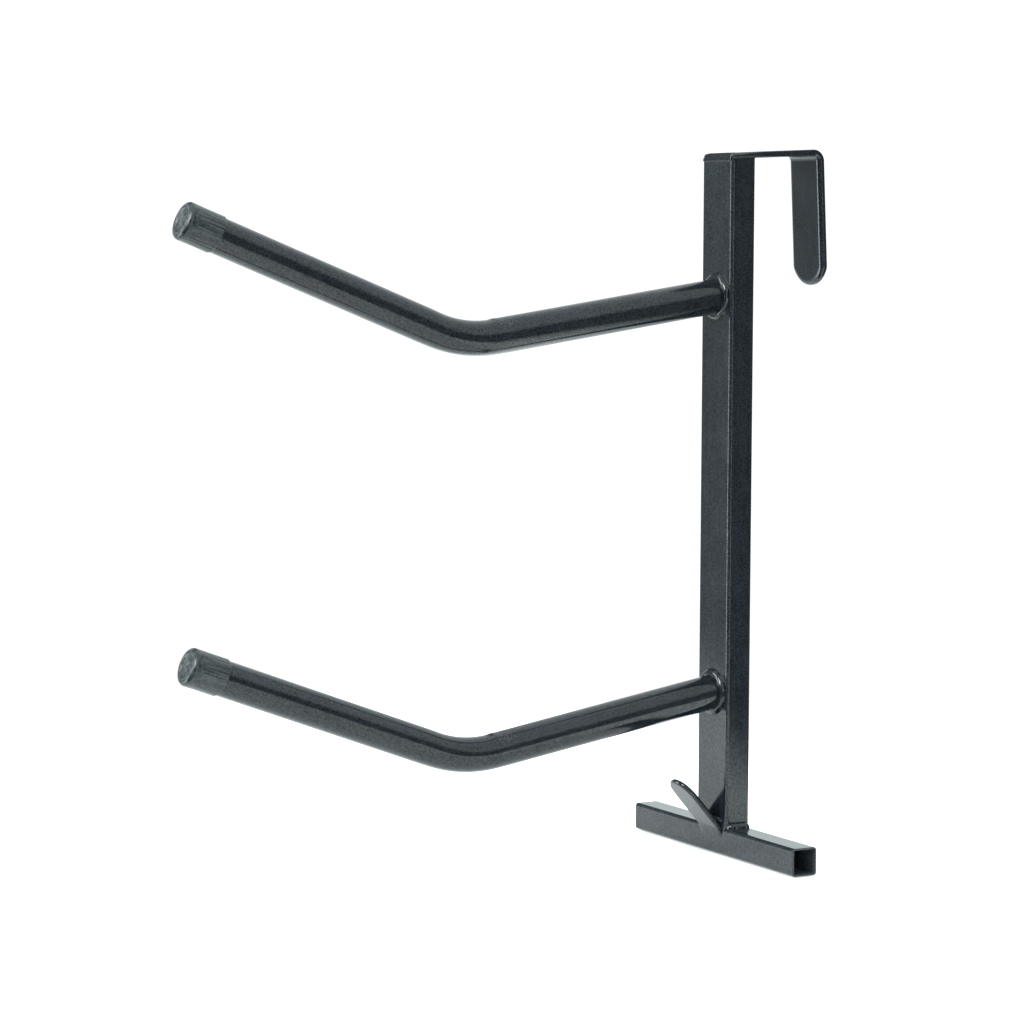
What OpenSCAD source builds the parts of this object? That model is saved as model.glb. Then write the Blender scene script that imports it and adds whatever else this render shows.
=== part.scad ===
// Two-tier hanging rack: a flat hook goes over the top of a door or stall wall, an upright hangs from it,
// and two cranked tube arms reach out from the upright. A cross bar at the foot keeps the rack square to
// the door, and a short flat peg at the foot holds a bridle or a strap.
// Axes: +Z up, +Y towards the door, -Y out along the arms. Origin: middle of the seat under the hook.

/* [Upright] */
// Width of the upright tube, side to side
upright_w = 50.8; // [38:0.1:64]
// Depth of the upright tube, door to arms
upright_d = 25.4; // [20:0.1:38]
// Length of the upright's front face, from the hook to the foot bar
upright_h = 610; // [560:1:760]
// Wall of the upright, the arms and the foot bar
tube_wall = 2; // [1.2:0.1:3]
// Outer corner radius of the upright and the foot bar
corner_r = 3; // [2.2:0.1:4]

/* [Door hook] */
// Clear space for the door between the upright and the hook's leg
door_gap = 68; // [40:0.5:90]
// Thickness of the flat bar
hook_t = 6; // [4:0.1:8]
// Inner radius of the bend
hook_bend_r = 5; // [3:0.5:8]
// Drop of the leg behind the door
hook_leg = 118.5; // [80:0.5:160]
// Radius of the leg's rounded end
hook_end_r = 28; // [28:0.5:40]
// Radius rolled on the long edges of the flat bar
hook_edge_r = 1.5; // [0.5:0.1:1.9]
// Upward tilt of the whole hook towards its leg
hook_tilt = 2.7; // [0:0.1:4]

/* [Arms] */
// Outer diameter of the arm tube
arm_od = 31.75; // [25:0.05:36]
// Height of the upper arm's root below the top of the upright
upper_arm_drop = 123.5; // [90:0.5:160]
// Spacing of the two arms
arm_spacing = 362.5; // [300:0.5:420]
// Length of each arm from the upright to the middle of its bend
arm_inner = 262; // [200:1:320]
// Centreline radius of the bend
arm_bend_r = 115; // [80:1:160]
// Upper arm: slope down to the bend, in degrees
upper_down = 8.6; // [5:0.1:14]
// Upper arm: slope up beyond the bend, in degrees
upper_up = 21.6; // [14:0.1:30]
// Upper arm: length from the bend to the face of the cap
upper_outer = 286; // [220:0.5:340]
// Lower arm: slope down to the bend, in degrees
lower_down = 9.8; // [5:0.1:14]
// Lower arm: slope up beyond the bend, in degrees
lower_up = 20.4; // [14:0.1:30]
// Lower arm: length from the bend to the face of the cap
lower_outer = 281.5; // [220:0.5:340]

/* [End caps] */
// Length of a cap, with its end
cap_len = 34; // [24:0.5:50]
// Wall of the cap over the tube
cap_wall = 1.2; // [0.8:0.1:2]
// Thickness of the cap's end
cap_end = 3.5; // [2.5:0.1:5]
// Depth of the dished middle of the end
cap_dish = 1.2; // [0.5:0.1:1.5]
// Width of the rim round the dish
cap_rim = 6.5; // [4.5:0.1:7]
// Rounding of the cap's outer edge
cap_round = 4; // [1:0.1:4.2]

/* [Foot bar] */
// Side of the square foot bar
bar_side = 25.4; // [20:0.1:32]
// Length of the foot bar
bar_len = 274; // [180:1:360]

/* [Tack peg] */
// Width of the flat peg
peg_w = 36; // [18:0.1:40]
// Thickness of the peg
peg_t = 5; // [3:0.1:6]
// Rise of the peg from the horizontal, in degrees
peg_angle = 49; // [45:1:60]
// Length of the peg along its upper face
peg_len = 57.5; // [45:0.5:75]
// Height of the peg's upper face above the foot bar where it leaves the upright
peg_foot = 3; // [0.5:0.1:4]

/* [Weld beads] */
// Leg of the bead round each arm
arm_weld = 5.5; // [3:0.1:7]
// Leg of the beads beside the foot of the upright
foot_weld = 6; // [3:0.1:7]
// Radius of the beads along the hook's front and sides
hook_weld = 2; // [1.6:0.1:2.5]
// Radius of the two beads at the root of the peg
peg_weld = 3.4; // [2.5:0.1:4]

/* [Hidden] */
$fn = 96;

coat = [0.13, 0.14, 0.145];
bead = [0.2, 0.21, 0.215];
vinyl = [0.17, 0.18, 0.185];

// Planes of the upright: back_y rests on the door, front_y carries the arms
back_y = -door_gap / 2;
front_y = back_y - upright_d;
mid_y = (back_y + front_y) / 2;
top_z = front_y * tan(hook_tilt);
foot_z = top_z - upright_h;
upper_z = top_z - upper_arm_drop;
lower_z = upper_z - arm_spacing;

arm_r = arm_od / 2;
inner_corner_r = max(corner_r - tube_wall, 0.5);
bend_lap = 0.5;
bend_thin = 0.05;
beyond = 20;
bead_sink = 1.3;
seam_in = 2.5;
feather = 0.4;

// Rectangle with round corners, centred
module round_rect(w, h, r) {
    square([w - 2 * r, h], center = true);
    square([w, h - 2 * r], center = true);
    for (x = [-1, 1], y = [-1, 1])
        translate([x * (w / 2 - r), y * (h / 2 - r)]) circle(r = r);
}

// Turns a drawing in X and Y into one seen from +X: its X becomes +Y and its Y becomes +Z
module side_view() {
    rotate([90, 0, 90]) children();
}

// Cuts away all that lies on the door's side of the upright's front face
module trim_to_front() {
    difference() {
        children();
        translate([-bar_len, front_y, foot_z - bar_len]) cube([2 * bar_len, 100, 2 * upright_h]);
    }
}

// ---- Upright and foot bar ----

// Everything above the seat plane of the hook, used to cut the top of the upright to the hook's tilt
module above_seat() {
    rotate([hook_tilt, 0, 0]) translate([-bar_len / 2, -bar_len, 0]) cube([bar_len, 2 * bar_len, 60]);
}

module upright_block() {
    difference() {
        translate([0, mid_y, foot_z])
            linear_extrude(upright_h + beyond) round_rect(upright_w, upright_d, corner_r);
        above_seat();
    }
}

module upright() {
    color(coat) difference() {
        upright_block();
        translate([0, mid_y, foot_z - beyond])
            linear_extrude(upright_h + 3 * beyond)
                round_rect(upright_w - 2 * tube_wall, upright_d - 2 * tube_wall, inner_corner_r);
    }
}

// A length of square bar across the rack, flush with the upright's back
module bar_block(side, r, len) {
    translate([-len / 2, back_y - bar_side / 2, foot_z - bar_side / 2])
        side_view() linear_extrude(len) round_rect(side, side, r);
}

module foot_bar() {
    color(coat) difference() {
        bar_block(bar_side, corner_r, bar_len);
        bar_block(bar_side - 2 * tube_wall, inner_corner_r, bar_len + beyond);
    }
}

// ---- Door hook ----

bend_y = door_gap / 2 - hook_bend_r;

// Cross-section of the flat bar, its underside on Y = 0
module hook_section() {
    translate([0, hook_t / 2]) round_rect(upright_w, hook_t, hook_edge_r);
}

// Seat, bend and leg, before both ends are shaped
module hook_strip() {
    translate([0, bend_y, 0]) rotate([90, 0, 0]) linear_extrude(bend_y - front_y + beyond) hook_section();
    translate([0, bend_y, -hook_bend_r])
        side_view() rotate_extrude(angle = 90)
            translate([hook_bend_r, 0]) rotate([0, 0, -90]) hook_section();
    translate([0, door_gap / 2, -hook_leg])
        linear_extrude(hook_leg - hook_bend_r) hook_section();
}

// Outline that rounds the end of the leg
module leg_outline() {
    translate([-upright_w, -bar_len, hook_end_r - hook_leg])
        cube([2 * upright_w, 2 * bar_len, 2 * hook_leg]);
    translate([0, bar_len, hook_end_r - hook_leg])
        rotate([90, 0, 0]) cylinder(r = hook_end_r, h = 2 * bar_len);
}

module door_hook() {
    color(coat) difference() {
        rotate([hook_tilt, 0, 0]) intersection() {
            hook_strip();
            leg_outline();
        }
        translate([-bar_len / 2, front_y - 2 * beyond, -beyond]) cube([bar_len, 2 * beyond, 2 * beyond]);
    }
}

// ---- Arms ----

// Frame of an arm: origin at its root, X along it, Y up across it
module arm_frame(root_z, down) {
    translate([0, front_y, root_z]) rotate([90, 0, -90]) rotate([0, 0, -down]) children();
}

// Frame at the end of the bend, X along the outer length
module outer_frame(root_z, down, up) {
    setback = arm_bend_r * tan((down + up) / 2);
    arm_frame(root_z, down)
        translate([arm_inner - setback, arm_bend_r]) rotate([0, 0, down + up])
            translate([0, -arm_bend_r]) children();
}

// Wall of the arm tube in section, thinned a little on each face through the bend
module arm_section(thinned) {
    difference() {
        circle(r = arm_r - thinned);
        circle(r = arm_r - tube_wall + thinned);
    }
}

// Straight length of arm tube along X
module straight_tube(from, to) {
    translate([from, 0, 0]) rotate([0, 90, 0]) linear_extrude(to - from) arm_section(0);
}

// Cranked tube, cut flat against the upright
module arm(root_z, down, up, outer) {
    setback = arm_bend_r * tan((down + up) / 2);
    color(coat) trim_to_front() {
        arm_frame(root_z, down) {
            straight_tube(-beyond, arm_inner - setback + bend_lap);
            translate([arm_inner - setback, arm_bend_r]) rotate([0, 0, -90])
                rotate_extrude(angle = down + up) translate([arm_bend_r, 0]) arm_section(bend_thin);
        }
        outer_frame(root_z, down, up) straight_tube(-bend_lap, outer - setback - cap_end);
    }
}

// Push-on cap: a cup over the tube, with a rounded edge and a dished end
module end_cap(root_z, down, up, outer) {
    setback = arm_bend_r * tan((down + up) / 2);
    cap_r = arm_r + cap_wall;
    color(vinyl) outer_frame(root_z, down, up)
        translate([outer - setback - cap_len, 0, 0]) rotate([0, 90, 0]) difference() {
            rotate_extrude() {
                square([cap_r, cap_len - cap_round]);
                square([cap_r - cap_round, cap_len]);
                translate([cap_r - cap_round, cap_len - cap_round]) circle(r = cap_round);
            }
            translate([0, 0, -1]) cylinder(r = arm_r, h = cap_len - cap_end + 1);
            translate([0, 0, cap_len - cap_dish]) cylinder(r = cap_r - cap_rim, h = beyond);
        }
}

module upper_arm() arm(upper_z, upper_down, upper_up, upper_outer);
module lower_arm() arm(lower_z, lower_down, lower_up, lower_outer);
module upper_end_cap() end_cap(upper_z, upper_down, upper_up, upper_outer);
module lower_end_cap() end_cap(lower_z, lower_down, lower_up, lower_outer);

// ---- Tack peg ----

// Frame of the peg: origin where its upper face leaves the upright, Y along it, Z up through its face
module peg_frame() {
    translate([0, front_y, foot_z + peg_foot]) rotate([0, 0, 180]) rotate([peg_angle, 0, 0]) children();
}

module tack_peg() {
    color(coat) trim_to_front() peg_frame() translate([0, 0, -peg_t]) linear_extrude(peg_t) {
        translate([-peg_w / 2, -beyond]) square([peg_w, peg_len - peg_w / 2 + beyond]);
        translate([0, peg_len - peg_w / 2]) circle(r = peg_w / 2);
    }
}

// ---- Weld beads ----

// Fillet round the root of an arm
module arm_bead(root_z, down) {
    color(bead) trim_to_front() arm_frame(root_z, down) difference() {
        translate([-arm_weld, 0, 0]) rotate([0, 90, 0])
            cylinder(r1 = arm_r + 2 * arm_weld, r2 = arm_r + feather, h = 2 * arm_weld);
        translate([-beyond, 0, 0]) rotate([0, 90, 0]) cylinder(r = arm_r, h = 2 * beyond);
    }
}

module upper_arm_weld() arm_bead(upper_z, upper_down);
module lower_arm_weld() arm_bead(lower_z, lower_down);

// Extrudes a section drawn in Y and Z across the rack, along X
module across(len) {
    color(bead) translate([-len / 2, 0, 0]) side_view() linear_extrude(len) children();
}

// Extrudes a section drawn in X and Z along the depth of the upright
module along_depth() {
    color(bead) translate([0, back_y - seam_in / 2, 0]) rotate([90, 0, 0])
        linear_extrude(upright_d - seam_in) children();
}

// Half-plane on the +X side of x in a section, or on the -X side where side is -1
module half_plane(x, side) {
    translate([side > 0 ? x : x - 4 * beyond, -2 * beyond]) square(4 * beyond);
}

module hook_weld_front() {
    across(upright_w - 2 * corner_r) translate([0, top_z]) difference() {
        translate([front_y + bead_sink, 0]) circle(r = hook_weld);
        half_plane(front_y, 1);
    }
}

// Bead in the groove between the hook's rolled edge and the side of the upright
module hook_side_weld() {
    rotate([hook_tilt, 0, 0]) along_depth() difference() {
        translate([upright_w / 2 - bead_sink, 0]) circle(r = hook_weld);
        hook_section();
        translate([upright_w / 2, 0]) rotate(180) square(upright_w / 2);
    }
}

module hook_weld_left() mirror([1, 0, 0]) hook_side_weld();
module hook_weld_right() hook_side_weld();

// Fills the groove over the bar's rounded front edge, flush with the upright
module foot_weld_front() {
    across(upright_w - 2 * seam_in) translate([front_y, foot_z - corner_r]) difference() {
        square(corner_r);
        translate([corner_r, 0]) circle(r = corner_r);
    }
}

module foot_weld_back() {
    translate([0, 2 * mid_y, 0]) mirror([0, 1, 0]) foot_weld_front();
}

// Fillet on top of the foot bar, beside the upright
module foot_side_weld() {
    along_depth() translate([upright_w / 2, foot_z]) intersection() {
        circle(r = foot_weld);
        square(foot_weld);
    }
}

module foot_weld_left() mirror([1, 0, 0]) foot_side_weld();
module foot_weld_right() foot_side_weld();

// In the notch between the peg's upper face and the upright
module peg_weld_top() {
    across(peg_w) translate([front_y, foot_z + peg_foot]) difference() {
        translate([-peg_weld / 2, peg_weld]) circle(r = peg_weld);
        half_plane(0, 1);
        rotate(90 - peg_angle) half_plane(0, -1);
    }
}

// Between the peg's lower face and the front of the foot bar
module peg_weld_under() {
    across(peg_w) translate([front_y, foot_z + peg_foot - peg_t / cos(peg_angle)]) difference() {
        circle(r = peg_weld);
        half_plane(0, 1);
        rotate(90 - peg_angle) half_plane(0, 1);
    }
}

upright();
door_hook();
upper_arm();
lower_arm();
upper_end_cap();
lower_end_cap();
foot_bar();
tack_peg();
upper_arm_weld();
lower_arm_weld();
hook_weld_front();
hook_weld_left();
hook_weld_right();
foot_weld_front();
foot_weld_back();
foot_weld_left();
foot_weld_right();
peg_weld_top();
peg_weld_under();
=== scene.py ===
"""Looks of the two-tier over-door rack: pieces, coatings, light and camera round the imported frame."""
import math
import random

import bmesh
import bpy
import numpy as np
from mathutils import Matrix


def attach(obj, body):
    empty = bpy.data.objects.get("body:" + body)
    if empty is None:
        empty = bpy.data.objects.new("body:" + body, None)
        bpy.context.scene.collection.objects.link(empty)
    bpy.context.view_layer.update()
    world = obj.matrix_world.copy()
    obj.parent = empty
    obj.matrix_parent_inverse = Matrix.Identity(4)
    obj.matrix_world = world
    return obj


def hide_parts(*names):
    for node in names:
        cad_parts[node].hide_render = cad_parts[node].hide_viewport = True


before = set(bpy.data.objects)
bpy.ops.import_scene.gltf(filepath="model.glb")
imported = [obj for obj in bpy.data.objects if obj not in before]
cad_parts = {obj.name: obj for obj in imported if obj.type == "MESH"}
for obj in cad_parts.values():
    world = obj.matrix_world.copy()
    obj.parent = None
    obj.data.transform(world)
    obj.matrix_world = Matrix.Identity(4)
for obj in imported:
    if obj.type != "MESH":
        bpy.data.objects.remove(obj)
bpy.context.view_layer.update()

# ---- Sizes, in millimetres and radians, as in the CAD source ----

UPRIGHT_W = 50.8
UPRIGHT_D = 25.4
UPRIGHT_H = 610.0
WALL = 2.0
CORNER_R = 3.0
INNER_R = 1.0
DOOR_GAP = 68.0
HOOK_T = 6.0
HOOK_BEND_R = 5.0
HOOK_LEG = 118.5
HOOK_END_R = 28.0
HOOK_TILT = math.radians(2.7)
ARM_R = 31.75 / 2
ARM_INNER = 262.0
ARM_BEND_R = 115.0
UPPER_DROP = 123.5
ARM_SPACING = 362.5
CAP_LEN = 34.0
CAP_WALL = 1.2
CAP_END = 3.5
CAP_DISH = 1.2
CAP_RIM = 6.5
CAP_ROUND = 4.0
BAR_SIDE = 25.4
BAR_LEN = 274.0
PEG_W = 36.0
PEG_T = 5.0
PEG_LEN = 57.5
PEG_FOOT = 3.0
PEG_ANGLE = math.radians(49)

BACK_Y = -DOOR_GAP / 2
FRONT_Y = BACK_Y - UPRIGHT_D
MID_Y = (BACK_Y + FRONT_Y) / 2
TOP_Z = FRONT_Y * math.tan(HOOK_TILT)
FOOT_Z = TOP_Z - UPRIGHT_H
UPPER_Z = TOP_Z - UPPER_DROP
LOWER_Z = UPPER_Z - ARM_SPACING

# How far some surfaces stay off the CAD faces that they would otherwise touch
HAIR = 0.02

X, Y, Z = np.eye(3)
MM = 0.001


def vec(x, y, z):
    return np.array([x, y, z], float)


def unit(v):
    return v / np.linalg.norm(v)


def smooth(low, high, value):
    """0 below low, 1 above high, and a soft step between."""
    t = min(1.0, max(0.0, (value - low) / (high - low)))
    return t * t * (3 - 2 * t)


# ---- Mesh building ----

def make_piece(name, points, faces, material, nodes, wear=None, own=None, sharp=40):
    """Makes one closed piece from points in millimetres, with its edge_wear_and_bore_light and own_axes attributes."""
    mesh = bpy.data.meshes.new(name)
    mesh.from_pydata([tuple(p * MM) for p in points], [], faces)
    # This wear attribute marks real edge wear, and also carries the painted light that makes tube bores
    # paler
    edge_wear_and_bore_light = mesh.attributes.new("edge_wear_and_bore_light", "FLOAT", "POINT")
    edge_wear_and_bore_light.data.foreach_set("value", np.array([0.0] * len(points) if wear is None else wear, np.float32))
    own_axes = mesh.attributes.new("own_axes", "FLOAT_VECTOR", "POINT")
    own_axes.data.foreach_set("vector", (np.array(points if own is None else own, np.float32) * MM).ravel())
    work = bmesh.new()
    work.from_mesh(mesh)
    bmesh.ops.remove_doubles(work, verts=work.verts, dist=1e-7)
    bmesh.ops.recalc_face_normals(work, faces=work.faces)
    work.to_mesh(mesh)
    work.free()
    mesh.shade_smooth()
    mesh.set_sharp_from_angle(angle=math.radians(sharp))
    mesh.materials.append(material)
    piece = bpy.data.objects.new(name, mesh)
    bpy.context.scene.collection.objects.link(piece)
    weighted = piece.modifiers.new("Weighted", "WEIGHTED_NORMAL")
    weighted.keep_sharp = True
    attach(piece, "root")
    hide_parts(*nodes)
    return piece


def ring_faces(rows, count, around=True, along=False):
    """Quads between rows of count points; around closes each row, along joins the last row to the first."""
    faces = []
    for i in range(rows if along else rows - 1):
        a, b = i * count, ((i + 1) % rows) * count
        for j in range(count if around else count - 1):
            k = (j + 1) % count
            faces.append((a + j, a + k, b + k, b + j))
    return faces


def rounded_outline(w, h, r, steps):
    """Points of a rectangle with round corners, and how far each one is into its corner, from 0 to 1."""
    points, corner = [], []
    for quarter, (sx, sy) in enumerate([(1, 1), (-1, 1), (-1, -1), (1, -1)]):
        for i in range(steps + 1):
            a = (quarter + i / steps) * math.pi / 2
            points.append((sx * (w / 2 - r) + r * math.cos(a), sy * (h / 2 - r) + r * math.sin(a)))
            corner.append(math.sin(math.pi * i / steps))
    return points, corner


def box_tube(name, w, h, place, ends, material, nodes):
    """Hollow rectangular tube.

    place turns (u, v, s) into a point, and ends gives s at both ends for a (u, v).
    """
    steps = 8
    bevel = 0.4
    spans = 40
    bore_painted_light = 5  # The bore is painted in the paler worn tone as painted light, so its shaded inside reads lit
    outer, corner = rounded_outline(w, h, CORNER_R, steps)
    inner, _ = rounded_outline(w - 2 * WALL, h - 2 * WALL, INNER_R, steps)
    points, wear, own = [], [], []

    def row(outline, inset, share, step, worn_and_lit):
        for (u, v), c in zip(outline, corner):
            shrink = 1 - inset / math.hypot(u, v)
            low, high = ends(u, v)
            s = low + (high - low) * share + step
            points.append(place(u * shrink, v * shrink, s))
            own.append(vec(s, u, v))
            wear.append(max(worn_and_lit, c))

    row(outer, bevel, 0, 0, 1)
    row(outer, bevel * 0.3, 0, bevel * 0.3, 1)
    row(outer, 0, 0, bevel, 1)
    for i in range(1, spans):
        row(outer, 0, i / spans, 0, 0)
    row(outer, 0, 1, -bevel, 1)
    row(outer, bevel * 0.3, 1, -bevel * 0.3, 1)
    row(outer, bevel, 1, 0, 1)
    row(inner, -bevel, 1, 0, 1)
    row(inner, 0, 1, -bevel, 1)
    # The two middle bore rows carry the painted light, so the faces between them take the paler worn tone
    row(inner, 0, 1, -2 * bevel, bore_painted_light)
    row(inner, 0, 0, 2 * bevel, bore_painted_light)
    row(inner, 0, 0, bevel, 1)
    row(inner, -bevel, 0, 0, 1)
    count = len(outer)
    return make_piece(name, points, ring_faces(len(points) // count, count, along=True),
                      material, nodes, wear, own)


def half_outline(start, stations, centre, end_r, half_w, blend_r, front_r):
    """Right half of a strap's outline, as (u, x, nu, nx).

    It runs from the middle of the front to the tip of the round end; nu and nx point outwards.
    """
    rows = [(start, 0.0, -1.0, 0.0), (start, half_w * 0.5, -1.0, 0.0)]
    for i in range(7):
        a = math.pi / 2 * i / 6
        rows.append((start + front_r - front_r * math.cos(a), half_w - front_r + front_r * math.sin(a),
                     -math.cos(a), math.sin(a)))
    rows += [(u, half_w, 0.0, 1.0) for u in stations]
    reach = math.sqrt((end_r - blend_r) ** 2 - (half_w - blend_r) ** 2)
    sweep = math.atan2(reach, half_w - blend_r)
    for i in range(9):
        a = sweep * i / 8
        rows.append((centre + reach + blend_r * math.sin(a), half_w - blend_r + blend_r * math.cos(a),
                     math.sin(a), math.cos(a)))
    for i in range(1, 19):
        a = sweep + (math.pi / 2 - sweep) * i / 18
        rows.append((centre + end_r * math.sin(a), end_r * math.cos(a) if i < 18 else 0.0,
                     math.sin(a), math.cos(a)))
    return rows


def strap(name, rows, thick, edge, top_edge, front_edge_r, place, material, nodes):
    """Flat bar with rolled edges, and sharper ones across its front.

    edge is (width, depth) of the roll on the face at w = 0 and round the front, and top_edge is that of
    the face at w = thick behind it. rows is half the outline; place turns (u, x, w) into a point.
    """
    steps = 8
    left = [(u, -x, nu, -nx) for u, x, nu, nx in reversed(rows[1:-1])]
    loop = rows + left
    count, half = len(loop), len(rows)
    side = max(x for _, x, _, _ in rows[:12])
    levels = [(math.pi / 2 * i / steps, False) for i in range(steps + 1)]
    levels += [(math.pi / 2 * (steps - i) / steps, True) for i in range(steps + 1)]
    points, wear, own = [], [], []
    for angle, upper in levels:
        for u, x, nu, nx in loop:
            back = smooth(8, 30, u - rows[0][0]) if upper else 0.0
            edge_in, edge_r = (low + (top - low) * back for low, top in zip(edge, top_edge))
            front = max(0.0, -nu) ** 3 * (1 - smooth(0.6 * side, side, abs(x)))
            inset = (edge_in + (front_edge_r - edge_in) * front) * (1 - math.sin(angle))
            w = (edge_r + (front_edge_r - edge_r) * front) * (1 - math.cos(angle))
            w = thick - w if upper else w
            points.append(place(u - nu * inset, x - nx * inset, w))
            own.append(vec(u - nu * inset, x - nx * inset, w))
            wear.append(math.sin(2 * angle) if 0 < angle < math.pi / 2 else 0.3)
    faces = ring_faces(len(levels), count)
    for base in (0, (len(levels) - 1) * count):
        for i in range(half - 1):
            quad = [base + k for k in (i, i + 1, (count - i - 1) % count, (count - i) % count)]
            faces.append(tuple(k for n, k in enumerate(quad) if k not in quad[:n]))
    return make_piece(name, points, faces, material, nodes, wear, own)


def bead(name, stations, material, nodes, closed=False, seed=1, pitch=8.0, lump=0.5, taper=0.0, skew=1.3,
         scallop=0.0, wander=0.04):
    """Weld bead. A station is (corner, a, b, out, leg_a, leg_b, height, distance along the bead).

    The surface runs from leg_a along a to leg_b along b, raised by height along out. Lumps about pitch
    apart raise it by about lump more, and scallop makes them reach further along b. A skew above 1
    hollows the surface, taper is the length over which its ends shrink, and wander is how far its toes
    stray, as a share.
    """
    draw = random.Random(seed)
    sides = 16
    lag = 0.35 * pitch  # How far the middle of a lump is ahead of its toes
    total = stations[-1][7] + (0 if not closed else stations[1][7])
    lumps = max(1, round(total / pitch))
    centres = [(k + 0.5 + draw.uniform(-0.2, 0.2)) * total / lumps for k in range(lumps)]
    sizes = [draw.uniform(0.7, 1.15) for _ in range(lumps)]
    reaches = [draw.uniform(0.72, 0.95) * total / lumps for _ in range(lumps)]
    sway = [[draw.uniform(0.4, 1.0), draw.uniform(0, 2 * math.pi), draw.randint(2, 7)] for _ in range(8)]

    def toe(s, first):
        """Slow wander of a leg's length along the bead, as a share."""
        return 1 + wander * sum(k * math.sin(2 * math.pi * n * s / total + p)
                              for k, p, n in sway[first:first + 4])

    def rise(s, t):
        total_rise = 0.0
        for centre, size, reach in zip(centres, sizes, reaches):
            gap = s - centre + lag * (math.sin(math.pi * t) - 0.6)
            if closed:
                gap = (gap + total / 2) % total - total / 2
            q = gap / reach
            if abs(q) < 1:
                total_rise += (size * (1 - q * q)) ** 3
        return total_rise ** (1 / 3)

    points = []
    for corner, a, b, out, leg_a, leg_b, height, s in stations:
        end = 1.0
        if not closed and taper:
            end = math.sqrt(max(0.0, 1 - max(0.0, 1 - min(s, total - s) / taper) ** 2))
        points.append(corner - out * 0.4)
        for j in range(sides + 1):
            t = j / sides
            bow = math.sin(math.pi * t)
            grow = 0.25 + 0.75 * end
            high = rise(s, t)
            wide = toe(s, 4) * (1 + scallop * (high - 0.6))
            flat = leg_a * toe(s, 0) * grow * (1 - t) ** skew * a + leg_b * wide * grow * t ** skew * b
            lift = (height + lump * high) * bow * end
            points.append(corner + flat + out * lift - out * 0.06 * (1 - bow))
    count = sides + 2
    faces = ring_faces(len(stations), count, along=closed)
    if not closed:
        last = (len(stations) - 1) * count
        faces.append(tuple(range(count)))
        faces.append(tuple(last + i for i in range(count)))
    return make_piece(name, points, faces, material, nodes, sharp=75)


# ---- Materials ----

class Nodes:
    """Short ways to add and join shader nodes in one node tree."""

    def __init__(self, tree):
        self.tree = tree
        tree.nodes.clear()

    def add(self, kind, inputs=None, **settings):
        node = self.tree.nodes.new(kind)
        for key, value in settings.items():
            setattr(node, key, value)
        for key, value in (inputs or {}).items():
            if isinstance(value, bpy.types.NodeSocket):
                self.tree.links.new(value, node.inputs[key])
            else:
                node.inputs[key].default_value = value
        return node

    def math(self, operation, *values):
        node = self.add("ShaderNodeMath", dict(enumerate(values)), operation=operation)
        return node.outputs[0]

    def span(self, value, low, high, to_low=0.0, to_high=1.0, soft=True):
        node = self.add("ShaderNodeMapRange", {0: value, 1: low, 2: high, 3: to_low, 4: to_high},
                        interpolation_type="SMOOTHSTEP" if soft else "LINEAR")
        return node.outputs[0]

    def noise(self, where, scale, detail=3.0, rough=0.5, stretch=(1, 1, 1)):
        if stretch != (1, 1, 1):
            scaled = self.add("ShaderNodeVectorMath", {0: where, 1: stretch}, operation="MULTIPLY")
            where = scaled.outputs[0]
        node = self.add("ShaderNodeTexNoise", {"Vector": where, "Scale": scale, "Detail": detail,
                                               "Roughness": rough})
        return node.outputs["Fac"]

    def blend(self, factor, first, second):
        node = self.add("ShaderNodeMix", data_type="RGBA")
        for socket, value in ((node.inputs[0], factor), (node.inputs[6], first), (node.inputs[7], second)):
            if isinstance(value, bpy.types.NodeSocket):
                self.tree.links.new(value, socket)
            elif isinstance(value, tuple):
                socket.default_value = (*value, 1.0)
            else:
                socket.default_value = value
        return node.outputs[2]

    def bump(self, height, distance, normal=None):
        inputs = {"Height": height, "Distance": distance * MM, "Strength": 1.0}
        if normal is not None:
            inputs["Normal"] = normal
        return self.add("ShaderNodeBump", inputs).outputs[0]


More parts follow.
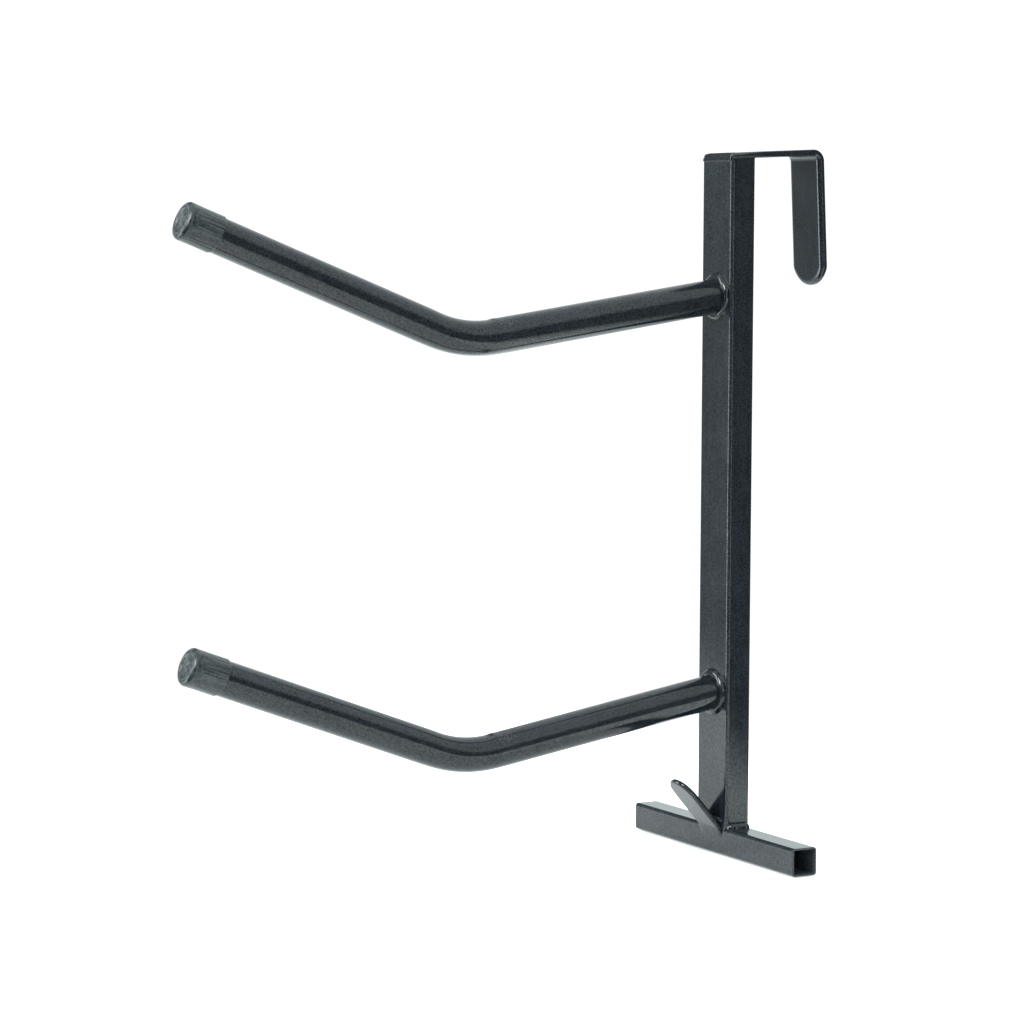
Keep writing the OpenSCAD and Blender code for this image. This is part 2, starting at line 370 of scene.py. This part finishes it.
def coating(name, dark, light, worn_and_lit, rough, grain, peel, speck, streak, rib_scale, rib_share, wear_amount):
    """Painted or moulded surface: mottled colour, uneven gloss, orange peel, fine specks and streaks.

    rough is (smoothest, roughest); grain is how far the gleam of one grain differs from the next; peel,
    speck and streak are heights in millimetres; rib_share is how much of the colour follows the streaks.
    """
    material = bpy.data.materials.new(name)
    material.use_nodes = True
    n = Nodes(material.node_tree)
    own = n.add("ShaderNodeAttribute", attribute_name="own_axes").outputs["Vector"]
    wear = n.add("ShaderNodeAttribute", attribute_name="edge_wear_and_bore_light").outputs["Fac"]

    cloud = n.noise(own, 24.0, 4.0, 0.6)
    fine = n.noise(own, 680.0, 3.0, 0.6)
    specks = n.noise(own, 1100.0, 2.0, 0.55)
    ribs = n.noise(own, rib_scale, 3.0, 0.55, stretch=(0.08, 1, 1))
    orange = n.noise(own, 560.0, 1.5, 0.4)

    mottle = n.math("ADD", n.math("MULTIPLY", fine, 0.6), n.math("MULTIPLY", specks, 0.4))
    cloud_share = 0.15
    striped = n.math("ADD", n.math("MULTIPLY", mottle, 1 - cloud_share - rib_share),
                     n.math("MULTIPLY", ribs, rib_share))
    shade = n.math("ADD", n.math("MULTIPLY", cloud, cloud_share), striped)
    colour = n.blend(n.span(shade, 0.40, 0.60), dark, light)
    # The chip mask marks real chips, and also fills tube bores, whose high wear value paints them in the
    # paler worn tone as painted light
    chips_and_bore_light = n.span(n.math("ADD", specks, n.math("MULTIPLY", wear, wear_amount)), 0.76, 0.9)
    colour = n.blend(chips_and_bore_light, colour, worn_and_lit)

    gloss = n.math("ADD", n.math("MULTIPLY", cloud, 0.5), n.math("MULTIPLY", mottle, 0.5))
    roughness = n.span(gloss, 0.38, 0.62, rough[0], rough[1])
    roughness = n.math("ADD", roughness, n.math("MULTIPLY", chips_and_bore_light, 0.15))
    gleam = n.span(mottle, 0.38, 0.62, 0.5 - grain, 0.5 + grain, soft=False)

    normal = n.bump(orange, peel)
    normal = n.bump(specks, speck, normal)
    normal = n.bump(ribs, streak, normal)
    shader = n.add("ShaderNodeBsdfPrincipled", {"Base Color": colour, "Roughness": roughness,
                                                "Normal": normal, "IOR": 1.5,
                                                "Specular IOR Level": gleam})
    n.add("ShaderNodeOutputMaterial", {"Surface": shader.outputs[0]})
    return material


frame_coat = coating("frame_coat", (0.0018, 0.0034, 0.0054), (0.0125, 0.0180, 0.0238), (0.050, 0.058, 0.064),
                     (0.10, 0.17), grain=0.24, peel=0.005, speck=0.0012, streak=0.001, rib_scale=260,
                     rib_share=0.2, wear_amount=0.2)
weld_coat = coating("weld_coat", (0.0020, 0.0036, 0.0056), (0.0100, 0.0140, 0.0190), (0.03, 0.036, 0.04),
                    (0.08, 0.13), grain=0.12, peel=0.006, speck=0.001, streak=0.002, rib_scale=260,
                    rib_share=0.2, wear_amount=0.0)
cap_vinyl = coating("cap_vinyl", (0.005, 0.009, 0.011), (0.045, 0.056, 0.058), (0.05, 0.058, 0.06),
                    (0.27, 0.36), grain=0.15, peel=0.02, speck=0.008, streak=0.16, rib_scale=380,
                    rib_share=0.6, wear_amount=0.1)


# ---- Upright and foot bar ----

def upright():
    def place(u, v, s):
        return vec(u, MID_Y + v, s)

    def ends(u, v):
        return FOOT_Z, (MID_Y + v) * math.tan(HOOK_TILT)

    box_tube("upright_tube", UPRIGHT_W, UPRIGHT_D, place, ends, frame_coat, ["upright"])


def foot_bar():
    def place(u, v, s):
        return vec(s, MID_Y + u, FOOT_Z - BAR_SIDE / 2 + v)

    box_tube("foot_bar_tube", BAR_SIDE, BAR_SIDE, place, lambda u, v: (-BAR_LEN / 2, BAR_LEN / 2),
             frame_coat, ["foot_bar"])


# ---- Door hook and tack peg ----

def tilted(p):
    """Turns a point of the level hook by the hook's tilt."""
    c, s = math.cos(HOOK_TILT), math.sin(HOOK_TILT)
    return vec(p[0], p[1] * c - p[2] * s, p[1] * s + p[2] * c)


def door_hook():
    bend_from = DOOR_GAP / 2 - HOOK_BEND_R
    mid_r = HOOK_BEND_R + HOOK_T / 2
    bend_to = bend_from + mid_r * math.pi / 2
    tip = bend_to + HOOK_LEG - HOOK_BEND_R
    start = FRONT_Y / math.cos(HOOK_TILT)

    def place(u, x, w):
        # The front end is cut upright, so it leans back by the tilt
        u += w * math.tan(HOOK_TILT) * max(0.0, 1 - (u - start) / 20)
        if u < bend_from:
            p = vec(x, u, w)
        elif u < bend_to:
            a = (u - bend_from) / mid_r
            r = HOOK_BEND_R + w
            p = vec(x, bend_from + r * math.sin(a), r * math.cos(a) - HOOK_BEND_R)
        else:
            p = vec(x, DOOR_GAP / 2 + w, bend_to - HOOK_BEND_R - u)
        return tilted(p)

    stations = list(np.linspace(start + 8, bend_from, 8))
    stations += list(np.linspace(bend_from, bend_to, 13)[1:])
    stations += list(np.linspace(bend_to, tip - HOOK_END_R + 8, 10)[1:-1])
    blend_r, front_r = 8.0, 3.5
    inner_edge, outer_edge, front_edge_r = (6.0, 2.9), (1.8, 1.0), 0.9
    rows = half_outline(start, stations, tip - HOOK_END_R, HOOK_END_R, UPRIGHT_W / 2, blend_r, front_r)
    strap("door_hook_bar", rows, HOOK_T, inner_edge, outer_edge, front_edge_r, place, frame_coat,
          ["door_hook"])


PEG_ALONG = vec(0, -math.cos(PEG_ANGLE), math.sin(PEG_ANGLE))
PEG_FACE = vec(0, math.sin(PEG_ANGLE), math.cos(PEG_ANGLE))
PEG_ROOT = vec(0, FRONT_Y, FOOT_Z + PEG_FOOT)


def tack_peg():
    def place(u, x, w):
        # The root is cut along the front of the upright
        u -= w * math.tan(PEG_ANGLE) * max(0.0, 1 - u / 20)
        return PEG_ROOT + PEG_ALONG * u - PEG_FACE * w + X * x

    tip_r = PEG_W / 2 - HAIR
    centre = PEG_LEN - PEG_W / 2
    blend_r, front_r = 2.0, 0.6
    edge, front_edge_r = (2.6, 2.4), 0.3
    rows = half_outline(0.0, np.linspace(2, centre - 3, 14), centre, tip_r, tip_r, blend_r, front_r)
    strap("tack_peg_bar", rows, PEG_T, edge, edge, front_edge_r, place, frame_coat, ["tack_peg"])


# ---- Arms and end caps ----

class ArmLine:
    """Centre line of an arm, measured along its length from the front of the upright."""

    def __init__(self, root_z, down, up, outer):
        self.root = vec(0, FRONT_Y, root_z)
        self.down = math.radians(down)
        self.turn = math.radians(down + up)
        setback = ARM_BEND_R * math.tan(self.turn / 2)
        self.bend_from = ARM_INNER - setback
        self.bend_to = self.bend_from + ARM_BEND_R * self.turn
        self.face = self.bend_to + outer - setback
        self.along = vec(0, -math.cos(self.down), -math.sin(self.down))
        self.across = vec(0, -math.sin(self.down), math.cos(self.down))

    def at(self, s):
        """Centre, direction along and direction across (upwards) at length s."""
        turned = min(max(0.0, (s - self.bend_from) / ARM_BEND_R), self.turn)
        c, k = math.cos(turned), math.sin(turned)
        along, across = c * self.along + k * self.across, c * self.across - k * self.along
        centre = (self.root + self.along * self.bend_from + ARM_BEND_R * (self.across - across)
                  if s > self.bend_from else self.root + self.along * s)
        return centre + along * max(0.0, s - self.bend_to), along, across


UPPER = ArmLine(UPPER_Z, 8.6, 21.6, 286.0)
LOWER = ArmLine(LOWER_Z, 9.8, 20.4, 281.5)


def arm(name, line, node, seed):
    around = 72
    draw = random.Random(seed)
    mark_side = math.radians(draw.uniform(84, 96))
    margin = 12
    stations = [0.0, *np.arange(6, line.bend_from - margin, 9)]
    stations += [*np.arange(line.bend_from - margin, line.bend_to + margin, 1.6)]
    stations += [*np.arange(line.bend_to + margin, line.face - CAP_END - 4, 9), line.face - CAP_END - 0.2]

    def radius(s, theta):
        # The bend squeezes the tube a little, and the bending die leaves a ridge where the bend starts
        squeeze = smooth(line.bend_from - 15, line.bend_from + 10, s) * (
            1 - smooth(line.bend_to - 10, line.bend_to + 15, s))
        r = ARM_R * (1 - 0.012 * squeeze * (1 - math.cos(2 * theta)) / 2 - 0.004 * squeeze)
        near = math.exp(-((s - line.bend_from + 1) / 4.0) ** 2)
        behind = smooth(line.bend_from - 26, line.bend_from - 8, s) * (
            1 - smooth(line.bend_from, line.bend_from + 8, s))
        turned = (theta - mark_side + math.pi) % (2 * math.pi) - math.pi
        on_top = math.exp(-(turned / 0.6) ** 2)
        return r + (0.35 * near + 0.12 * behind) * on_top

    points, own, wear = [], [], []

    def row(s, inside):
        centre, along, across = line.at(s)
        for j in range(around):
            theta = 2 * math.pi * j / around
            r = radius(s, theta) - (WALL if inside else 0)
            p = centre + r * (math.cos(theta) * X + math.sin(theta) * across)
            if s == 0:
                p = p - along * r * math.sin(theta) * math.tan(line.down)
            points.append(p)
            own.append(vec(s, r * math.cos(theta), r * math.sin(theta)))
            # The die scuffed the coat on the upper right, just before the bend
            turned = (theta - math.radians(52) + math.pi) % (2 * math.pi) - math.pi
            wear.append(1.5 * math.exp(-((s - line.bend_from + 9) / 13) ** 2 - (turned / 0.6) ** 2))

    for s in stations:
        row(s, False)
    for s in reversed(stations):
        row(s, True)
    make_piece(name, points, ring_faces(2 * len(stations), around, along=True), frame_coat,
               [node], wear, own)


def end_cap(name, line, node, seed):
    """Dip-moulded cap: ribbed sides, an uneven lip, a round shoulder and a dished end."""
    draw = random.Random(seed)
    around = 256
    rib_height, rib_sink, lip_height, dent_height = 0.055, 0.18, 0.55, 0.28
    cap_r = ARM_R + CAP_WALL
    dish_r = cap_r - CAP_RIM
    start = line.face - CAP_LEN
    ribs = [(draw.randint(16, 52), draw.uniform(0, 2 * math.pi), draw.uniform(0.3, 1.0)) for _ in range(7)]
    lip = [(1, math.pi, 2.0)]
    lip += [(n, draw.uniform(0, 2 * math.pi), draw.uniform(0.3, 1.0) / n) for n in (2, 3, 5)]

    # Profile as (radius, distance from the lip, share of the ribs that shows)
    profile = [(ARM_R + HAIR, CAP_LEN - CAP_END, 0.0), (ARM_R + HAIR, 0.5, 0.0), (ARM_R + 0.25, 0.05, 0.0),
               (ARM_R + 0.65, 0.0, 0.3), (cap_r - 0.2, 0.3, 1.0), (cap_r - HAIR, 0.9, 1.0)]
    # The ribs run out a little before the shoulder
    for k in range(1, 13):
        depth = 0.9 + (CAP_LEN - CAP_ROUND - 0.9) * k / 12
        profile.append((cap_r - HAIR - 0.1 * math.sin(math.pi * k / 12), depth,
                        1 - 0.8 * smooth(CAP_LEN - 13, CAP_LEN - 6, depth)))
    for i in range(1, 13):
        a = math.pi / 2 * i / 12
        profile.append((cap_r - CAP_ROUND + CAP_ROUND * math.cos(a) - HAIR,
                        CAP_LEN - CAP_ROUND + CAP_ROUND * math.sin(a) - HAIR, 0.2 * math.cos(a)))
    # The rim rolls over into the dish
    roll = 3.6
    floor_depth = CAP_LEN - CAP_DISH - 0.5
    profile += [(dish_r + roll * (0.5 - k / 8), CAP_LEN - HAIR - (CAP_DISH + 0.48) * smooth(0, 8, k), 0.0)
                for k in range(9)]
    profile += [(dish_r * k, floor_depth + 0.8 * (1 - k), 0.0) for k in (0.75, 0.6, 0.4, 0.2, 0.05)]

    dent_r = dish_r - 1.0
    points, own = [], []
    for r, depth, ribbed in profile:
        centre, along, across = line.at(start + depth)
        for j in range(around):
            theta = 2 * math.pi * j / around
            rib = sum(k * math.sin(n * theta + p + 0.02 * depth) for n, p, k in ribs)
            edge = sum(k * math.sin(n * theta + p) for n, p, k in lip) * (1 - smooth(0, 9, depth))
            grown = r + ribbed * (rib_height * rib - rib_sink)
            dent = dent_height * math.sin(3 * theta + seed) * math.sin(math.pi * min(1.0, r / dent_r))
            points.append(centre + grown * (math.cos(theta) * X + math.sin(theta) * across)
                          + along * (lip_height * edge - dent))
            # The streaks of the vinyl grow wider and fainter towards the end
            calm = r * (1 - 0.6 * smooth(CAP_LEN - 12, CAP_LEN - 1, depth))
            own.append(vec(depth, calm * math.cos(theta), calm * math.sin(theta)))
    faces = ring_faces(len(profile), around)
    last = (len(profile) - 1) * around
    faces.append(tuple(range(around)))
    faces.append(tuple(last + i for i in range(around)))
    make_piece(name, points, faces, cap_vinyl, [node], own=own)


# ---- Weld beads ----

def arm_bead(name, line, node, seed):
    count = 180
    stations = []
    for i in range(count):
        theta = 2 * math.pi * i / count
        e = math.cos(theta) * X + math.sin(theta) * line.across
        corner = line.root + ARM_R * e - line.along * ARM_R * math.sin(theta) * math.tan(line.down)
        out_along_face = unit(vec(math.cos(theta), 0, math.sin(theta) / math.cos(line.down)))
        stations.append((corner, line.along, out_along_face, unit(line.along + out_along_face),
                         3.9, 5.0, 1.3, 2 * math.pi * ARM_R * i / count))
    bead(name, stations, weld_coat, [node], closed=True, seed=seed, pitch=12.0, lump=0.3, skew=1.0,
         scallop=0.35)


def line_bead(name, start, end, a, b, out, legs, height, node, step=0.6, **settings):
    """Straight bead from start to end."""
    length = float(np.linalg.norm(end - start))
    count = max(8, round(length / step))
    stations = [(start + (end - start) * i / count, a, b, out, legs[0], legs[1], height, length * i / count)
                for i in range(count + 1)]
    bead(name, stations, weld_coat, [node], **settings)


def hook_beads():
    half = UPRIGHT_W / 2
    middle = vec(0, FRONT_Y, TOP_Z)
    line_bead("hook_bead_front", middle - X * (half - 1.9), middle + X * (half - 1.9), Z, -Z, -Y,
              (2.2, 2.0), 0.35, "hook_weld_front", seed=21, pitch=7, lump=0.1, taper=1.0, skew=1.0)
    along, up = tilted(Y), tilted(Z)
    for side, word in ((1, "right"), (-1, "left")):
        start = tilted(vec(side * half, FRONT_Y + 0.4, 0))
        end = tilted(vec(side * half, BACK_Y - 1.3, 0))
        line_bead("hook_bead_" + word, start, end, up, -up, side * X, (2.2, 2.0), 0.4, "hook_weld_" + word,
                  seed=22 + side, pitch=7, lump=0.1, taper=1.0, skew=1.0)


def foot_beads():
    half = UPRIGHT_W / 2
    for side, word in ((1, "right"), (-1, "left")):
        start = vec(side * half, FRONT_Y + 1.0, FOOT_Z)
        end = vec(side * half, BACK_Y - 1.0, FOOT_Z)
        line_bead("foot_bead_" + word, start, end, Z, side * X, unit(Z + side * X), (5.6, 5.6), 1.9,
                  "foot_weld_" + word, seed=32 + side, pitch=13.0, lump=0.2, taper=4.5, skew=1.15,
                  wander=0.02)
    for y, face, word in ((FRONT_Y, -Y, "front"), (BACK_Y, Y, "back")):
        corner = vec(0, y, FOOT_Z - 1.0) - face * HAIR
        line_bead("foot_bead_" + word, corner - X * (half - 2.5), corner + X * (half - 2.5), Z, -Z, face,
                  (2.2, 3.0), 0.1, "foot_weld_" + word, seed=41, pitch=9, lump=0.06, taper=2.0, skew=1.0)


def peg_beads():
    half = PEG_W / 2
    upper = PEG_ROOT
    lower = PEG_ROOT - Z * PEG_T / math.cos(PEG_ANGLE)
    line_bead("peg_bead_top", upper - X * half, upper + X * half, PEG_ALONG, Z, unit(PEG_ALONG + Z),
              (6.0, 6.0), 0.3, "peg_weld_top", seed=51, pitch=8, lump=0.2, taper=3.0)
    wide = half + 0.8
    line_bead("peg_bead_under", lower - X * wide, lower + X * wide, PEG_ALONG, -Z, unit(vec(0, -1, -0.25)),
              (5.5, 5.0), 0.0, "peg_weld_under", seed=52, pitch=9, lump=0.14, taper=6.0, skew=1.35,
              wander=0.02)


upright()
foot_bar()
door_hook()
tack_peg()
arm("upper_arm_tube", UPPER, "upper_arm", 3)
arm("lower_arm_tube", LOWER, "lower_arm", 4)
end_cap("upper_cap_shell", UPPER, "upper_end_cap", 5)
end_cap("lower_cap_shell", LOWER, "lower_end_cap", 6)
arm_bead("upper_arm_bead", UPPER, "upper_arm_weld", 11)
arm_bead("lower_arm_bead", LOWER, "lower_arm_weld", 12)
hook_beads()
foot_beads()
peg_beads()


# ---- Floor, light and camera ----

def floor():
    """Pale floor under the rack, with a painted glow of its own. It fades out towards its edges, and from
    below it isn't there.
    """
    # In metres, and 1 mm under the foot bar
    z = (FOOT_Z - BAR_SIDE - 1.0) * MM
    side, near, far = 1.5, -0.9, 0.5
    mesh = bpy.data.meshes.new("studio_floor")
    mesh.from_pydata([(-side, near, z), (side, near, z), (side, far, z), (-side, far, z)], [],
                     [(0, 1, 2, 3)])
    piece = bpy.data.objects.new("studio_floor", mesh)
    bpy.context.scene.collection.objects.link(piece)
    material = bpy.data.materials.new("studio_floor")
    material.use_nodes = True
    n = Nodes(material.node_tree)
    where = n.add("ShaderNodeNewGeometry").outputs
    place = n.add("ShaderNodeSeparateXYZ", {0: where["Position"]}).outputs
    grain = n.noise(where["Position"], 60.0, 4.0, 0.6)
    colour = n.blend(grain, (0.80, 0.82, 0.82), (0.86, 0.87, 0.87))
    # Its painted glow grows brighter towards the back, and the floor ends a little way behind the rack
    glow = n.span(place["Y"], -0.12, 0.14, 0.36, 1.15)
    glowing_floor = n.add("ShaderNodeBsdfPrincipled", {
        "Base Color": colour, "Roughness": 0.7, "Specular IOR Level": 0.2,
        "Emission Color": (0.93, 1.0, 1.0, 1), "Emission Strength": glow})
    clear = n.add("ShaderNodeBsdfTransparent")
    sides = n.span(n.math("ABSOLUTE", place["X"]), 1.0, side - 0.05)
    fade = n.math("MAXIMUM", sides, n.math("MAXIMUM", n.span(place["Y"], 0.12, far - 0.1),
                                           n.span(place["Y"], -0.55, near + 0.02, 0.0, 1.0)))
    gone = n.math("MAXIMUM", fade, where["Backfacing"])
    mixed = n.add("ShaderNodeMixShader", {0: gone, 1: glowing_floor.outputs[0], 2: clear.outputs[0]})
    n.add("ShaderNodeOutputMaterial", {"Surface": mixed.outputs[0]})
    mesh.materials.append(material)


def studio():
    """World seen in reflections: a pale sweep behind and to the left, and the dim room elsewhere.

    Azimuth is measured from -Y towards +X and elevation from the horizon, both in degrees.
    """
    world = bpy.data.worlds.new("studio")
    bpy.context.scene.world = world
    world.use_nodes = True
    n = Nodes(world.node_tree)
    split = n.add("ShaderNodeSeparateXYZ", {0: n.add("ShaderNodeTexCoord").outputs["Generated"]}).outputs
    azimuth = n.math("MULTIPLY", n.math("ARCTAN2", split["X"], n.math("MULTIPLY", split["Y"], -1.0)),
                     180 / math.pi)
    elevation = n.math("MULTIPLY", n.math("ARCSINE", split["Z"]), 180 / math.pi)

    # Each patch paints over the ones before it: azimuth, half-width and softness, elevation, half-height
    # and softness, and brightness
    patches = [
        ("ceiling", 0, 180, 1, 90, 62, 16, 1.3),
        ("dark_upper_left", -85, 25, 8, 38, 16, 5, 0.25),
        ("sweep_floor", -98, 76, 8, -50, 42, 6, 1.2),
        ("sweep", -125, 45, 8, 5, 14, 5, 1.3),
        ("left_fill", -62, 8, 8, 0, 8, 8, 0.48),
        ("left_box", -33, 10, 2, 5, 25, 3, 7.0),
        ("right_box", 93, 5, 2, 0, 24, 4, 3.0),
    ]
    level = 0.3  # The dim room
    for _, az, wide, az_soft, el, high, el_soft, value in patches:
        aside = n.math("PINGPONG", n.math("SUBTRACT", azimuth, float(az)), 180.0)
        across = n.span(aside, float(wide), float(wide + az_soft), 1.0, 0.0)
        height = n.math("ABSOLUTE", n.math("SUBTRACT", elevation, float(el)))
        upright_share = n.span(height, float(high), float(high + el_soft), 1.0, 0.0)
        share = n.math("MULTIPLY", across, upright_share)
        level = n.span(share, 0.0, 1.0, level, float(value), soft=False)
    reflected = n.add("ShaderNodeBackground", {"Color": (0.89, 0.985, 1.0, 1.0), "Strength": level})
    seen = n.add("ShaderNodeBackground", {"Color": (1, 1, 1, 1), "Strength": 1.1})
    camera_ray = n.add("ShaderNodeLightPath").outputs["Is Camera Ray"]
    mixed = n.add("ShaderNodeMixShader", {0: camera_ray, 1: reflected.outputs[0], 2: seen.outputs[0]})
    n.add("ShaderNodeOutputWorld", {"Surface": mixed.outputs[0]})


def lamp(name, place, size, watts):
    """Soft box that points at the rack."""
    data = bpy.data.lights.new(name, "AREA")
    data.shape = "RECTANGLE"
    data.size, data.size_y = size
    data.energy = watts
    piece = bpy.data.objects.new(name, data)
    bpy.context.scene.collection.objects.link(piece)
    piece.location = place
    aim = np.array([0, -0.3, -0.3]) - np.array(place)
    z_axis = unit(-aim)
    x_axis = unit(np.cross(Y if abs(z_axis[2]) > 0.9 else Z, z_axis))
    y_axis = np.cross(z_axis, x_axis)
    matrix = np.eye(4)
    matrix[:3, 0], matrix[:3, 1], matrix[:3, 2], matrix[:3, 3] = x_axis, y_axis, z_axis, place
    piece.matrix_world = Matrix(matrix)
    return piece


def camera():
    """Camera at the photograph's angle. Its place is in metres."""
    place = (2.5879, -1.6675, -0.0742)
    yaw, pitch, roll = math.radians(61.62), math.radians(4.70), math.radians(0.26)
    forward = vec(-math.sin(yaw) * math.cos(pitch), math.cos(yaw) * math.cos(pitch), -math.sin(pitch))
    right = vec(math.cos(yaw), math.sin(yaw), 0)
    up = np.cross(right, forward)
    right, up = (right * math.cos(roll) + up * math.sin(roll), up * math.cos(roll) - right * math.sin(roll))
    data = bpy.data.cameras.new("camera")
    data.lens = 117.3
    data.sensor_width = 36.0
    data.clip_end = 50.0
    piece = bpy.data.objects.new("camera", data)
    bpy.context.scene.collection.objects.link(piece)
    matrix = np.eye(4)
    matrix[:3, 0], matrix[:3, 1], matrix[:3, 2] = right, up, -forward
    matrix[:3, 3] = place
    piece.matrix_world = Matrix(matrix)
    bpy.context.scene.camera = piece


floor()
studio()
lamp("key_box", (0.505, -2.674, 1.463), (1.15, 1.35), 78)
camera()
bpy.context.scene.view_settings.view_transform = "Standard"
